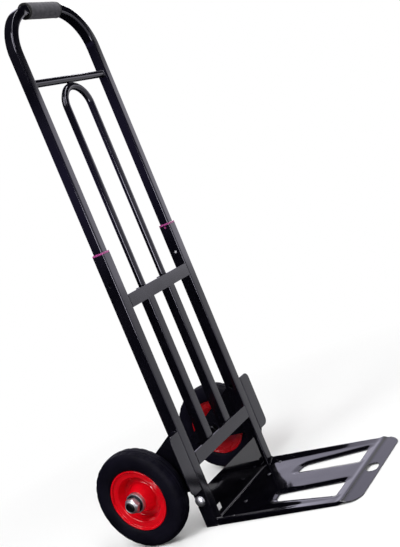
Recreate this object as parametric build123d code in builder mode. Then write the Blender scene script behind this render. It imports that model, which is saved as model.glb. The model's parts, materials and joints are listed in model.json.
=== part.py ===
import os

from build123d import *

# Sack truck, standing upright on its toe plate, feet and wheels.
# +X is the truck's right, the load side faces -Y, +Z is up.
# The origin is on the floor, under the middle of the truck's box.

# Side tubes of the lower frame
frame_width = 300.0  # across the outer faces of the side tubes
side_tube_width = 26.0  # along X
side_tube_depth = 30.0  # along Y
side_tube_top = 615.0
tube_wall = 1.5
tube_corner = 3.0
foot_thickness = 3.0
foot_spigot = 22.0
foot_edge = 1.0

# Guide tubes for the centre hoop, and the two cross plates
guide_spacing = 88.0  # between the guide tubes' centres
guide_tube_size = 24.0
guide_top_inset = 1.0  # guide tube ends inside the cross plates' height
cross_plate_thickness = 4.0
cross_plate_height = 29.0
upper_plate_bottom = 490.0
lower_plate_bottom = 129.5
guide_bush_length = 20.0

# Telescopic handle
leg_width = 21.0
leg_depth = 25.0
leg_corner = 4.0
leg_overlap = 100.0  # length of leg inside the side tube, handle out
handle_top = 1141.0  # centreline of the top bar
handle_bend = 92.0  # centreline radius of the two bends
handle_travel = 340.0
crossbar_diameter = 16.0
crossbar_height = 986.0
hoop_diameter = 16.0
hoop_overlap = 39.0  # length of hoop leg inside its guide tube, handle out
weld_gap = 0.05
grip_diameter = 35.0
grip_wrap = 6.0  # degrees that the grip runs round each bend
glide_height = 14.0
glide_spigot = 20.0

# Guide collars on top of the side tubes
collar_rim = 4.0
collar_edge = 1.0
collar_sleeve = 40.0
collar_nub_diameter = 5.0
collar_nub_drop = 4.5

# Sprung lock buttons, one in each handle leg
button_diameter = 7.6
button_flange_diameter = 11.0
button_flange_thickness = 1.5
button_travel = 3.2
button_edge = 1.6
button_drop = 65.0  # below the top of the side tube
button_hole_gap = 0.2
lock_hole_diameter = 9.0
spring_strip = 0.7
spring_bend = 1.05
spring_width = 8.0
spring_length = 46.0

# Wheel brackets
bracket_sheet = 3.0
bracket_drop = 22.0  # below the axle
bracket_rise = 111.0  # above the axle
bracket_flange = 39.0  # guard flange, outwards from the side tube
bracket_shoulder = 20.0  # level stretch at the top of the side plate
bracket_tail = 104.0  # behind the axle, where the sloping and bottom edges would meet
bracket_nose = 12.0
bracket_corner = 14.0
bracket_bend = 2.9

# Wheels and stub axles
wheel_diameter = 216.0
wheel_width = 46.0
wheel_offset = 36.0  # from the side tube's outer face to the wheel's middle plane
guard_gap = 17.0  # between the bracket's guard flange and the tyre
axle_diameter = 20.0
axle_head_width = 30.0
axle_head_thickness = 12.0
axle_nut_thickness = 16.0
axle_nut_hex = 12.0
axle_nut_crown_diameter = 26.0
axle_thread_end = 2.0
axle_washer_diameter = 37.0
axle_washer_thickness = 2.5
spacer_diameter = 28.0
hub_diameter = 43.0
hub_wall = 2.0
hub_inboard = 20.5  # from the wheel's middle plane
hub_outboard = 29.5
hub_play = 0.3
bearing_width = 11.0
bearing_inset = 1.0
bearing_gap = 0.05
rim_sheet = 2.0
rim_web_inset = 6.0  # inboard of the wheel's middle plane
rim_floor_diameter = 84.0
rim_barrel_diameter = 106.0
rim_lip_diameter = 137.0
rim_seat_width = 24.0  # between the lips
rim_lip_flare = 3.5
rim_cone_diameter = 64.0
rim_cone_height = 11.0  # inner pressing
rim_boss_height = 28.0  # outer pressing
tread_half_width = 14.0
tread_crown = 2.0
sidewall_bulge_diameter = 174.0

# Folding toe plate
toe_reach = 329.0  # in front of the side tubes
toe_sheet = 2.0
toe_top = 6.0  # upper face of the flat
toe_side_inset = 1.5
toe_corner = 35.0
toe_ridge_rise = 2.0  # raised ridge across the front, above the flat
toe_ridge_width = 11.0
toe_lip_length = 39.0  # sloping lip in front of the ridge
toe_lip_drop = 6.0
toe_rim_width = 14.5  # raised rim along each side
toe_rim_rise = 8.0  # above the flat, next to the frame
toe_stop_gap = 0.3
upstand_setback = 6.0
upstand_top = 81.0
upstand_bend = 3.5
ear_gap = 0.4
ear_radius = 12.0
pivot_setback = 18.0
pivot_height = 60.0
pivot_diameter = 10.0
pivot_gap = 0.05
pivot_head_diameter = 24.0
pivot_head_height = 7.0
pivot_head_slope = 3.5
pivot_nut_width = 16.0
pivot_nut_thickness = 8.0
window_tip = 108.0  # narrow end, in front of the side tubes
window_tip_offset = 50.0  # from the truck's middle
window_shoulder = 113.0  # where the outer side turns in to the tip
window_shoulder_offset = 84.0
window_wide_end = 264.0
window_inner = 44.0
window_outer = 106.0
window_round = 6.0
window_shoulder_round = 25.0
dish_width = 14.0  # sloping border pressed down around each window
dish_drop = 3.5
hang_hole_length = 38.0
hang_hole_width = 24.0
upstand_slot_width = 16.0
upstand_slot_height = 14.0
upstand_slot_lift = 12.0  # above the flat
upstand_slot_inset = 14.0
stiffener_setback = 29.0
stiffener_width = 20.0
stiffener_thickness = 3.0
stiffener_end_gap = 8.0
rivet_diameter = 5.0
rivet_head_diameter = 9.0
rivet_head_height = 1.6
rivet_head_slope = 0.8
rivet_inner_offset = 63.0
rivet_outer_offset = 127.0

# Clearances
slide_gap = 0.3  # handle parts in the frame
seat_gap = 0.1  # fixed plastic pieces in their tubes
hole_gap = 0.1  # fixed bolts in their holes

# Places worked out from the sizes above
wheel_radius = wheel_diameter / 2
axle_setback = bracket_sheet + guard_gap + wheel_radius  # behind the front faces of the side tubes
front_y = (toe_reach - axle_setback - wheel_radius) / 2  # front faces of the side tubes
tube_y = front_y + side_tube_depth / 2
outer_face = frame_width / 2
side_x = outer_face - side_tube_width / 2
inner_face = outer_face - side_tube_width
guide_x = guide_spacing / 2
guide_y = front_y + cross_plate_thickness + guide_tube_size / 2
guide_bottom = lower_plate_bottom + guide_top_inset
guide_top = upper_plate_bottom + cross_plate_height - guide_top_inset
leg_bottom = side_tube_top - leg_overlap
leg_inner_face = side_x - leg_width / 2
lock_height = side_tube_top - button_drop
hoop_bottom = guide_top - hoop_overlap
hoop_spring_line = crossbar_height - crossbar_diameter / 2 - weld_gap - hoop_diameter / 2 - guide_x
axle_y = front_y + axle_setback
axle_z = wheel_radius
bracket_bottom = axle_z - bracket_drop
bracket_top = axle_z + bracket_rise
bracket_reach = axle_setback + bracket_tail
wheel_centre = outer_face + wheel_offset  # from the truck's middle
pivot_y = front_y + pivot_setback
toe_half = outer_face - toe_side_inset
ear_outer = inner_face - ear_gap
upstand_y = front_y + upstand_setback
toe_front = front_y - toe_reach
toe_back = front_y - toe_stop_gap
sides = (("left", -1), ("right", 1))

os.makedirs("parts", exist_ok=True)


def save(builder, name):
    builder.part.label = name
    export_step(builder.part, f"parts/{name}.step")


def tube_section(width, depth, corner, wall):
    RectangleRounded(width, depth, corner)
    RectangleRounded(width - 2 * wall, depth - 2 * wall, corner - wall, mode=Mode.SUBTRACT)


def across(x):
    # Plane square to X at x: its own x runs along Y, its own y along Z
    return Plane.YZ.offset(x)


def facing_front(y):
    # Plane square to Y at y: its own x runs along X, its own y along Z
    return Plane.XZ.offset(-y)


# Lower frame
for side, sx in sides:
    with BuildPart() as side_tube:
        with BuildSketch(Plane.XY.offset(foot_thickness)):
            with Locations((sx * side_x, tube_y)):
                tube_section(side_tube_width, side_tube_depth, tube_corner, tube_wall)
        extrude(amount=side_tube_top - foot_thickness)
        # Lock hole drilled right through, and the toe plate's pivot hole
        with BuildSketch(across(sx * side_x)):
            with Locations((tube_y, lock_height)):
                Circle(lock_hole_diameter / 2)
            with Locations((pivot_y, pivot_height)):
                Circle(pivot_diameter / 2 + hole_gap)
        extrude(amount=side_tube_width, both=True, mode=Mode.SUBTRACT)
        # Inner wall only: the hole that locks the lowered handle, and the collar nub's hole
        with BuildSketch(across(sx * inner_face)):
            with Locations((tube_y, lock_height - handle_travel)):
                Circle(lock_hole_diameter / 2)
            with Locations((tube_y, side_tube_top - collar_nub_drop)):
                Circle(collar_nub_diameter / 2 + seat_gap)
        extrude(amount=2 * tube_wall, both=True, mode=Mode.SUBTRACT)
    save(side_tube, f"{side}_side_tube")

    with BuildPart() as guide_tube:
        with BuildSketch(Plane.XY.offset(guide_bottom)):
            with Locations((sx * guide_x, guide_y)):
                tube_section(guide_tube_size, guide_tube_size, tube_corner, tube_wall)
        extrude(amount=guide_top - guide_bottom)
    save(guide_tube, f"{side}_guide_tube")

    with BuildPart() as collar:
        with BuildSketch(Plane.XY.offset(side_tube_top - collar_sleeve)):
            with Locations((sx * side_x, tube_y)):
                RectangleRounded(
                    side_tube_width - 2 * (tube_wall + seat_gap),
                    side_tube_depth - 2 * (tube_wall + seat_gap),
                    tube_corner - tube_wall,
                )
        extrude(amount=collar_sleeve)
        with BuildSketch(Plane.XY.offset(side_tube_top)):
            with Locations((sx * side_x, tube_y)):
                RectangleRounded(side_tube_width, side_tube_depth, tube_corner)
        extrude(amount=collar_rim)
        chamfer(collar.faces().sort_by(Axis.Z)[-1].edges(), collar_edge)
        # Nub that snaps into the side tube's inner wall
        with BuildSketch(across(sx * (inner_face + 2 * tube_wall))):
            with Locations((tube_y, side_tube_top - collar_nub_drop)):
                Circle(collar_nub_diameter / 2)
        extrude(amount=-sx * 2 * tube_wall)
        # Opening that the handle's leg slides in
        with BuildSketch(Plane.XY.offset(side_tube_top - collar_sleeve)):
            with Locations((sx * side_x, tube_y)):
                RectangleRounded(leg_width + 2 * slide_gap, leg_depth + 2 * slide_gap, leg_corner + slide_gap)
        extrude(amount=collar_sleeve + collar_rim, mode=Mode.SUBTRACT)
    save(collar, f"{side}_collar")

    with BuildPart() as bracket:
        with BuildSketch(across(sx * outer_face)) as side_plate:
            with BuildLine():
                Polyline(
                    (front_y, bracket_bottom),
                    (front_y, bracket_top),
                    (front_y + bracket_shoulder, bracket_top),
                    (front_y + bracket_reach, bracket_bottom),
                    close=True,
                )
            make_face()
            fillet(side_plate.vertices().sort_by(Axis.X)[-1], bracket_nose)
            fillet(side_plate.vertices().group_by(Axis.Y)[-1].sort_by(Axis.X)[-1], bracket_corner)
            with Locations((axle_y, axle_z)):
                Circle(axle_diameter / 2 + hole_gap, mode=Mode.SUBTRACT)
        extrude(amount=sx * bracket_sheet)
        with BuildSketch(facing_front(front_y)) as guard:
            with Locations((sx * (outer_face + bracket_flange / 2), (bracket_bottom + bracket_top) / 2)):
                Rectangle(bracket_flange, bracket_top - bracket_bottom)
            fillet(guard.vertices().sort_by(Axis.X)[-2:] if sx > 0 else guard.vertices().sort_by(Axis.X)[:2],
                   bracket_corner)
        extrude(amount=-bracket_sheet)
        # Rounded outside of the bend, against the tube
        bend = bracket.edges().filter_by(Axis.Z).sort_by_distance((sx * outer_face, front_y, axle_z))[0]
        fillet(bend, bracket_bend)
    save(bracket, f"{side}_wheel_bracket")

for name, bottom in (("upper", upper_plate_bottom), ("lower", lower_plate_bottom)):
    with BuildPart() as cross_plate:
        with BuildSketch(facing_front(front_y)):
            with Locations((0, bottom + cross_plate_height / 2)):
                Rectangle(2 * inner_face, cross_plate_height)
        extrude(amount=-cross_plate_thickness)
    save(cross_plate, f"{name}_cross_plate")

with BuildPart() as guide_bushes:
    with BuildSketch(Plane.XY.offset(guide_top - guide_bush_length)):
        with Locations((-guide_x, guide_y), (guide_x, guide_y)):
            bush_size = guide_tube_size - 2 * (tube_wall + seat_gap)
            RectangleRounded(bush_size, bush_size, tube_corner - tube_wall)
            Circle(hoop_diameter / 2 + slide_gap, mode=Mode.SUBTRACT)
    extrude(amount=guide_bush_length)
save(guide_bushes, "guide_bushes")

with BuildPart() as feet:
    with BuildSketch():
        with Locations((-side_x, tube_y), (side_x, tube_y)):
            RectangleRounded(side_tube_width, side_tube_depth, tube_corner)
    extrude(amount=foot_thickness)
    chamfer(feet.faces().group_by(Axis.Z)[0].edges(), foot_edge)
    with BuildSketch(Plane.XY.offset(foot_thickness)):
        with Locations((-side_x, tube_y), (side_x, tube_y)):
            plug_width = side_tube_width - 2 * (tube_wall + seat_gap)
            plug_depth = side_tube_depth - 2 * (tube_wall + seat_gap)
            tube_section(plug_width, plug_depth, tube_corner - tube_wall, tube_wall - seat_gap)
    extrude(amount=foot_spigot)
save(feet, "tube_feet")

# Telescopic handle
with BuildPart() as handle_tube:
    with BuildLine(facing_front(tube_y)):
        FilletPolyline(
            (-side_x, leg_bottom),
            (-side_x, handle_top),
            (side_x, handle_top),
            (side_x, leg_bottom),
            radius=handle_bend,
        )
    with BuildSketch(Plane.XY.offset(leg_bottom)):
        with Locations((-side_x, tube_y)):
            tube_section(leg_width, leg_depth, leg_corner, tube_wall)
    sweep()
    for side, sx in sides:
        with BuildSketch(across(sx * leg_inner_face)):
            with Locations((tube_y, lock_height)):
                Circle(button_diameter / 2 + button_hole_gap)
        extrude(amount=2 * tube_wall, both=True, mode=Mode.SUBTRACT)
save(handle_tube, "handle_tube")

with BuildPart() as crossbar:
    with BuildSketch(across(-leg_inner_face)):
        with Locations((tube_y, crossbar_height)):
            Circle(crossbar_diameter / 2)
            Circle(crossbar_diameter / 2 - tube_wall, mode=Mode.SUBTRACT)
    extrude(amount=2 * leg_inner_face)
save(crossbar, "handle_crossbar")

with BuildPart() as hoop:
    with BuildLine(facing_front(guide_y)):
        left_leg = Line((-guide_x, hoop_bottom), (-guide_x, hoop_spring_line))
        crown = ThreePointArc(left_leg @ 1, (0, hoop_spring_line + guide_x), (guide_x, hoop_spring_line))
        Line(crown @ 1, (guide_x, hoop_bottom))
    with BuildSketch(Plane.XY.offset(hoop_bottom)):
        with Locations((-guide_x, guide_y)):
            Circle(hoop_diameter / 2)
            Circle(hoop_diameter / 2 - tube_wall, mode=Mode.SUBTRACT)
    sweep()
save(hoop, "centre_hoop")

with BuildPart() as grip:
    bend_x = side_x - handle_bend
    bend_z = handle_top - handle_bend
    with BuildLine(facing_front(tube_y)):
        left_bend = CenterArc((-bend_x, bend_z), handle_bend, 90 + grip_wrap, -grip_wrap)
        Line((-bend_x, handle_top), (bend_x, handle_top))
        CenterArc((bend_x, bend_z), handle_bend, 90, -grip_wrap)
    with BuildSketch(Plane(left_bend @ 0, x_dir=(0, 1, 0), z_dir=left_bend % 0)):
        Circle(grip_diameter / 2)
        RectangleRounded(
            leg_depth + 2 * seat_gap,
            leg_width + 2 * seat_gap,
            leg_corner + seat_gap,
            mode=Mode.SUBTRACT,
        )
    sweep()
save(grip, "handle_grip")

with BuildPart() as glides:
    with BuildSketch(Plane.XY.offset(leg_bottom - glide_height)):
        with Locations((-side_x, tube_y), (side_x, tube_y)):
            RectangleRounded(
                side_tube_width - 2 * (tube_wall + slide_gap),
                side_tube_depth - 2 * (tube_wall + slide_gap),
                tube_corner - tube_wall,
            )
    extrude(amount=glide_height)
    with BuildSketch(Plane.XY.offset(leg_bottom)):
        with Locations((-side_x, tube_y), (side_x, tube_y)):
            RectangleRounded(
                leg_width - 2 * (tube_wall + seat_gap),
                leg_depth - 2 * (tube_wall + seat_gap),
                leg_corner - tube_wall,
            )
    extrude(amount=glide_spigot)
save(glides, "leg_glides")

for side, sx in sides:
    # The tip stands just inside the side tube's wall, clear of it while the handle slides
    tip = inner_face + tube_wall + slide_gap
    flange = leg_inner_face + tube_wall + slide_gap + button_travel
    with BuildPart() as button:
        with BuildSketch(across(sx * tip)):
            with Locations((tube_y, lock_height)):
                Circle(button_diameter / 2)
        extrude(amount=sx * (flange - tip))
        chamfer(button.faces().filter_by(Axis.X).sort_by(Axis.X)[0 if sx > 0 else -1].edges(), button_edge)
        with BuildSketch(across(sx * flange)):
            with Locations((tube_y, lock_height)):
                Circle(button_flange_diameter / 2)
        extrude(amount=sx * button_flange_thickness)
    save(button, f"{side}_lock_button")

    # V of spring strip between the button's flange and the leg's outer wall
    strip_front = flange + button_flange_thickness + seat_gap
    strip_back = side_x + leg_width / 2 - tube_wall
    with BuildPart() as spring:
        with BuildSketch(facing_front(tube_y - spring_width / 2)):
            with BuildLine():
                strip = FilletPolyline(
                    (sx * strip_front, lock_height - button_flange_diameter / 2),
                    (sx * strip_front, lock_height + button_flange_diameter / 2),
                    (sx * strip_back, lock_height + spring_length),
                    (sx * strip_back, lock_height - button_flange_diameter),
                    radius=spring_bend,
                )
                offset(strip, amount=spring_strip, side=Side.LEFT if sx > 0 else Side.RIGHT)
            make_face()
        extrude(amount=-spring_width)
    save(spring, f"{side}_button_spring")

# Stub axles
head_face = outer_face
hub_inner = wheel_centre - hub_inboard
hub_outer = wheel_centre + hub_outboard
washer_face = hub_outer + hub_play
nut_face = washer_face + axle_washer_thickness
axle_end = nut_face + axle_nut_thickness + axle_thread_end


def on_axle(x):
    return Plane(origin=(x, axle_y, axle_z), x_dir=(0, 1, 0), z_dir=(1, 0, 0))


for side, sx in sides:
    with BuildPart() as axle_bolt:
        with BuildSketch(on_axle(sx * head_face)):
            RegularPolygon(axle_head_width / 2, 6, major_radius=False)
        extrude(amount=-sx * axle_head_thickness)
        with BuildSketch(on_axle(sx * head_face)):
            Circle(axle_diameter / 2)
        extrude(amount=sx * (axle_end - head_face))
        end_edge = axle_bolt.faces().sort_by(Axis.X)[-1 if sx > 0 else 0].edges()
        chamfer(end_edge, axle_thread_end / 2)
    save(axle_bolt, f"{side}_axle_bolt")

    with BuildPart() as spacer:
        with BuildSketch(on_axle(sx * (outer_face + bracket_sheet))):
            Circle(spacer_diameter / 2)
            Circle(axle_diameter / 2 + hole_gap, mode=Mode.SUBTRACT)
        extrude(amount=sx * (hub_inner - hub_play - outer_face - bracket_sheet))
    save(spacer, f"{side}_axle_spacer")

with BuildPart() as axle_washers:
    for side, sx in sides:
        with BuildSketch(on_axle(sx * washer_face)):
            Circle(axle_washer_diameter / 2)
            Circle(axle_diameter / 2 + hole_gap, mode=Mode.SUBTRACT)
        extrude(amount=sx * axle_washer_thickness)
save(axle_washers, "axle_washers")

with BuildPart() as axle_nuts:
    for side, sx in sides:
        with BuildSketch(on_axle(sx * nut_face)):
            RegularPolygon(axle_head_width / 2, 6, major_radius=False)
            Circle(axle_diameter / 2 + hole_gap, mode=Mode.SUBTRACT)
        extrude(amount=sx * axle_nut_hex)
        with BuildSketch(on_axle(sx * nut_face)):
            Circle(axle_nut_crown_diameter / 2)
            Circle(axle_diameter / 2 + hole_gap, mode=Mode.SUBTRACT)
        extrude(amount=sx * axle_nut_thickness)
save(axle_nuts, "axle_nuts")

# Wheels
barrel = rim_barrel_diameter / 2
seat = rim_seat_width / 2
lip = rim_lip_diameter / 2
hub_r = hub_diameter / 2


def rim_seat_points(hx):
    # Barrel's edge, bead flange and flared lip, as radius against distance outboard
    return (
        (hx * seat, barrel),
        (hx * seat, lip - rim_lip_flare / 2),
        (hx * (seat + rim_lip_flare), lip),
    )


for side, sx in sides:
    # Section through the axle: x runs outboard from the wheel's middle plane, y is the radius
    section = Plane(origin=(sx * wheel_centre, axle_y, axle_z), x_dir=(sx, 0, 0), z_dir=(0, -1, 0))
    spin = Axis((0, axle_y, axle_z), (1, 0, 0))

    with BuildPart() as tyre:
        with BuildSketch(section):
            with BuildLine():
                bulge = (wheel_width / 2, sidewall_bulge_diameter / 2)
                shoulder = (tread_half_width, wheel_radius - tread_crown)
                # Bead: the rim's own outline
                Polyline((0, barrel), *rim_seat_points(1))
                TangentArc(bulge, rim_seat_points(1)[-1], tangent=(0, -1))
                TangentArc(bulge, shoulder, tangent=(0, 1))
                TangentArc((0, wheel_radius), shoulder, tangent=(1, 0))
                mirror(about=Plane.YZ)
            make_face()
        revolve(axis=spin)
    save(tyre, f"{side}_tyre")

    for half, hx, cone_height in (("outer", 1, rim_boss_height), ("inner", -1, rim_cone_height)):
        with BuildPart() as rim:
            with BuildSketch(section):
                with BuildLine():
                    pressing = Polyline(
                        (hx * cone_height - rim_web_inset, hub_r + seat_gap),
                        (-rim_web_inset, rim_cone_diameter / 2),
                        (-rim_web_inset, rim_floor_diameter / 2),
                        *rim_seat_points(hx),
                    )
                    offset(pressing, amount=rim_sheet, side=Side.RIGHT if hx > 0 else Side.LEFT)
                make_face()
            revolve(axis=spin)
        save(rim, f"{side}_rim_{half}")

    with BuildPart() as hub:
        with BuildSketch(on_axle(sx * hub_inner)):
            Circle(hub_r)
            Circle(hub_r - hub_wall, mode=Mode.SUBTRACT)
        extrude(amount=sx * (hub_outer - hub_inner))
    save(hub, f"{side}_hub")

    with BuildPart() as bearings:
        for start in (hub_inner + bearing_inset, hub_outer - bearing_inset - bearing_width):
            with BuildSketch(on_axle(sx * start)):
                Circle(hub_r - hub_wall)
                Circle(axle_diameter / 2 + bearing_gap, mode=Mode.SUBTRACT)
            extrude(amount=sx * bearing_width)
    save(bearings, f"{side}_bearings")

# Folding toe plate
ridge_y = toe_front + toe_lip_length
flat_end = ridge_y + toe_ridge_width
rim_x = toe_half - toe_rim_width
rivet_offsets = [(sx * x, 0) for side, sx in sides for x in (rivet_inner_offset, rivet_outer_offset)]


def rim_section(sx, y, crest):
    # Section of a side rim: slope up from the flat, and outer edge turned down to the floor
    under = toe_top - toe_sheet + (crest - toe_top) * (1 - toe_sheet / toe_rim_width)
    with BuildSketch(facing_front(y)) as section:
        with BuildLine():
            Polyline(
                (sx * rim_x, toe_top),
                (sx * toe_half, crest),
                (sx * toe_half, 0),
                (sx * (toe_half - toe_sheet), 0),
                (sx * (toe_half - toe_sheet), under),
                (sx * rim_x, toe_top - toe_sheet),
                close=True,
            )
        make_face()
    return section.sketch


def window_outline(sx, height, border):
    tip = (sx * window_tip_offset, front_y - window_tip)
    inner = (sx * window_inner, front_y - window_wide_end)
    outer = (sx * window_outer, front_y - window_wide_end)
    shoulder = (sx * window_shoulder_offset, front_y - window_shoulder)
    with BuildSketch(Plane.XY.offset(height)) as window:
        with BuildLine():
            Polyline(tip, inner, outer, shoulder, close=True)
        make_face()
        fillet(window.vertices().sort_by_distance(shoulder)[0], window_shoulder_round)
        for corner in (tip, inner, outer):
            fillet(window.vertices().sort_by_distance(corner)[0], window_round)
        if border:
            offset(amount=border)
    return window.sketch


with BuildPart() as toe_plate:
    # One sheet: upstand, bend, flat, raised ridge and sloping front lip
    with BuildSketch(Plane.YZ):
        with BuildLine():
            sheet = FilletPolyline(
                (upstand_y, upstand_top),
                (upstand_y, toe_top),
                (flat_end, toe_top),
                (ridge_y, toe_top + toe_ridge_rise),
                (toe_front, toe_top + toe_ridge_rise - toe_lip_drop),
                radius=upstand_bend,
            )
            offset(sheet, amount=toe_sheet, side=Side.LEFT)
        make_face()
    extrude(amount=toe_half, both=True)
    # Room for the side tubes beside the upstand, and for the side rims
    with BuildSketch():
        with Locations((-toe_half, toe_back), (toe_half, toe_back)):
            Rectangle(2 * (toe_half - ear_outer), 4 * side_tube_depth, align=(Align.CENTER, Align.MIN))
            Rectangle(2 * toe_rim_width, toe_back - flat_end, align=(Align.CENTER, Align.MAX))
    extrude(amount=2 * upstand_top, mode=Mode.SUBTRACT)
    # Rounded front corners
    with BuildSketch():
        with Locations((-toe_half, toe_front), (toe_half, toe_front)):
            Rectangle(2 * toe_corner, 2 * toe_corner)
        corner_x = toe_half - toe_corner
        with Locations((-corner_x, toe_front + toe_corner), (corner_x, toe_front + toe_corner)):
            Circle(toe_corner, mode=Mode.SUBTRACT)
    extrude(amount=2 * toe_top, mode=Mode.SUBTRACT)
    for side, sx in sides:
        back_section = rim_section(sx, toe_back, toe_top + toe_rim_rise)
        front_section = rim_section(sx, ridge_y, toe_top + toe_ridge_rise)
        loft([back_section, front_section], ruled=True)
        # Window with its border pressed down
        for top, mode in ((toe_top - toe_sheet, Mode.ADD), (toe_top, Mode.SUBTRACT)):
            border = window_outline(sx, top, dish_width)
            edge = window_outline(sx, top - dish_drop, 0)
            loft([border, edge], ruled=True, mode=mode)
        extrude(window_outline(sx, 0, 0), amount=2 * toe_top, mode=Mode.SUBTRACT)
    # Hanging hole in the front lip
    with BuildSketch():
        with Locations((0, (toe_front + ridge_y) / 2)):
            SlotOverall(hang_hole_length, hang_hole_width)
    extrude(amount=2 * toe_top, mode=Mode.SUBTRACT)
    # Small slots low in the upstand
    with BuildSketch(facing_front(upstand_y)):
        slot_x = inner_face - upstand_slot_inset
        slot_z = toe_top + upstand_slot_lift + upstand_slot_height / 2
        with Locations((-slot_x, slot_z), (slot_x, slot_z)):
            Rectangle(upstand_slot_width, upstand_slot_height)
    extrude(amount=2 * toe_sheet, both=True, mode=Mode.SUBTRACT)
    # Ears that turn on the pivot bolts
    for side, sx in sides:
        with BuildSketch(across(sx * ear_outer)):
            with Locations((pivot_y, pivot_height)):
                Circle(ear_radius)
            with Locations((upstand_y, upstand_top)):
                Rectangle(
                    pivot_setback - upstand_setback,
                    upstand_top - pivot_height + ear_radius,
                    align=(Align.MIN, Align.MAX),
                )
            with Locations((pivot_y, pivot_height)):
                Circle(pivot_diameter / 2 + pivot_gap, mode=Mode.SUBTRACT)
        extrude(amount=-sx * toe_sheet)
    # Rivet holes
    with BuildSketch():
        with Locations((0, front_y - stiffener_setback)):
            with Locations(*rivet_offsets):
                Circle(rivet_diameter / 2 + hole_gap)
    extrude(amount=toe_top, mode=Mode.SUBTRACT)
save(toe_plate, "toe_plate")

stiffener_top = toe_top - toe_sheet
with BuildPart() as stiffener:
    with BuildSketch(Plane.XY.offset(stiffener_top)):
        with Locations((0, front_y - stiffener_setback)):
            Rectangle(2 * (toe_half - stiffener_end_gap), stiffener_width)
            with Locations(*rivet_offsets):
                Circle(rivet_diameter / 2 + hole_gap, mode=Mode.SUBTRACT)
    extrude(amount=-stiffener_thickness)
save(stiffener, "toe_stiffener")

with BuildPart() as rivets:
    with BuildSketch(Plane.XY.offset(stiffener_top - stiffener_thickness)):
        with Locations((0, front_y - stiffener_setback)):
            with Locations(*rivet_offsets):
                Circle(rivet_diameter / 2)
    extrude(amount=stiffener_thickness + toe_sheet)
    with BuildSketch(Plane.XY.offset(toe_top)):
        with Locations((0, front_y - stiffener_setback)):
            with Locations(*rivet_offsets):
                Circle(rivet_head_diameter / 2)
    extrude(amount=rivet_head_height)
    chamfer(rivets.faces().group_by(Axis.Z)[-1].edges(), rivet_head_slope)
save(rivets, "toe_rivets")

# Pivot bolts of the toe plate
pivot_nut_face = ear_outer - toe_sheet - slide_gap
with BuildPart() as pivot_bolts:
    for side, sx in sides:
        with BuildSketch(across(sx * outer_face)):
            with Locations((pivot_y, pivot_height)):
                Circle(pivot_diameter / 2)
        extrude(amount=-sx * (outer_face - pivot_nut_face + pivot_nut_thickness))
        with BuildSketch(across(sx * outer_face)):
            with Locations((pivot_y, pivot_height)):
                Circle(pivot_head_diameter / 2)
        extrude(amount=sx * pivot_head_height)
        dome = pivot_bolts.faces().filter_by(Axis.X).sort_by(Axis.X)[-1 if sx > 0 else 0]
        chamfer(dome.edges(), pivot_head_slope)
save(pivot_bolts, "pivot_bolts")

with BuildPart() as pivot_nuts:
    for side, sx in sides:
        with BuildSketch(across(sx * pivot_nut_face)):
            with Locations((pivot_y, pivot_height)):
                RegularPolygon(pivot_nut_width / 2, 6, major_radius=False)
                Circle(pivot_diameter / 2 + hole_gap, mode=Mode.SUBTRACT)
        extrude(amount=-sx * pivot_nut_thickness)
save(pivot_nuts, "pivot_nuts")
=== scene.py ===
import bpy, bmesh, json, math
import numpy as np
from mathutils import Matrix, Vector


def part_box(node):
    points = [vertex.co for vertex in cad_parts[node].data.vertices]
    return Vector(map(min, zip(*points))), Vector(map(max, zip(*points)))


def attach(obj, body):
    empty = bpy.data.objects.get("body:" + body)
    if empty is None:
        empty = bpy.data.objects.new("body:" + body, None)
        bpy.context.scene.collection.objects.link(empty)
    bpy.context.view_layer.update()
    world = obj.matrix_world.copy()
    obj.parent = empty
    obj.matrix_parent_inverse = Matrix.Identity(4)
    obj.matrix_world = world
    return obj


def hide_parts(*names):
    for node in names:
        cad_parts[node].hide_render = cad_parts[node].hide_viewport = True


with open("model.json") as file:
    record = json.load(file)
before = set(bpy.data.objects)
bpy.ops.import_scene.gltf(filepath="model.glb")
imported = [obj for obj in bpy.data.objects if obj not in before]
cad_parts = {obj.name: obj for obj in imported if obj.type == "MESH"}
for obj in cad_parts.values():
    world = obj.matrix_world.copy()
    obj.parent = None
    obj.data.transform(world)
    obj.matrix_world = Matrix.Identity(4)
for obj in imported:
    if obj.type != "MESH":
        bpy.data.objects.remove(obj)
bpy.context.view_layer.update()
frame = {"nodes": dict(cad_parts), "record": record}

nodes = frame["nodes"]
bodyOf = {node: body for body, group in frame["record"]["behaviour"]["bodies"].items() for node in group}
scene = bpy.context.scene
mm = 0.001
sides = (("left", -1), ("right", 1))
signs = (-1, 1)
quarterTurn, halfTurn, fullTurn = math.pi / 2, math.pi, 2 * math.pi
print("frame loaded:", len(nodes), "nodes")


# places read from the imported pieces, in metres
def middle(node):
    low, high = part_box(node)
    return (low + high) / 2


tubeLow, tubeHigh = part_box("right_side_tube")
frontY, backY = tubeLow.y, tubeHigh.y  # front and back faces of the side tubes
innerX, outerX = tubeLow.x, tubeHigh.x
sideX, tubeY = middle("right_side_tube").xy
guideX = middle("right_guide_tube").x
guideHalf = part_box("right_guide_tube")[1].x - guideX
wheelX, axleY, axleZ = middle("right_tyre")


# small helpers for sums
def clamp(value):
    return min(1.0, max(0.0, value))


def sweep(span, steps, closed=False):
    # angles from nought to span, the last left out where the turn closes
    return [span * k / steps for k in range(steps if closed else steps + 1)]


# small helpers for node trees
noiseLow, noiseHigh = 0.3, 0.7  # most of a noise's values lie between


def newMaterial(name):
    mat = bpy.data.materials.new(name)
    mat.use_nodes = True
    return mat, mat.node_tree, mat.node_tree.nodes["Principled BSDF"]


def addNode(tree, kind, **values):
    node = tree.nodes.new(kind)
    for key, value in values.items():
        if hasattr(node, key):
            setattr(node, key, value)
        else:
            node.inputs[key].default_value = value
    return node


def setInputs(node, values):
    for key, value in values.items():
        node.inputs[key].default_value = value


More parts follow.
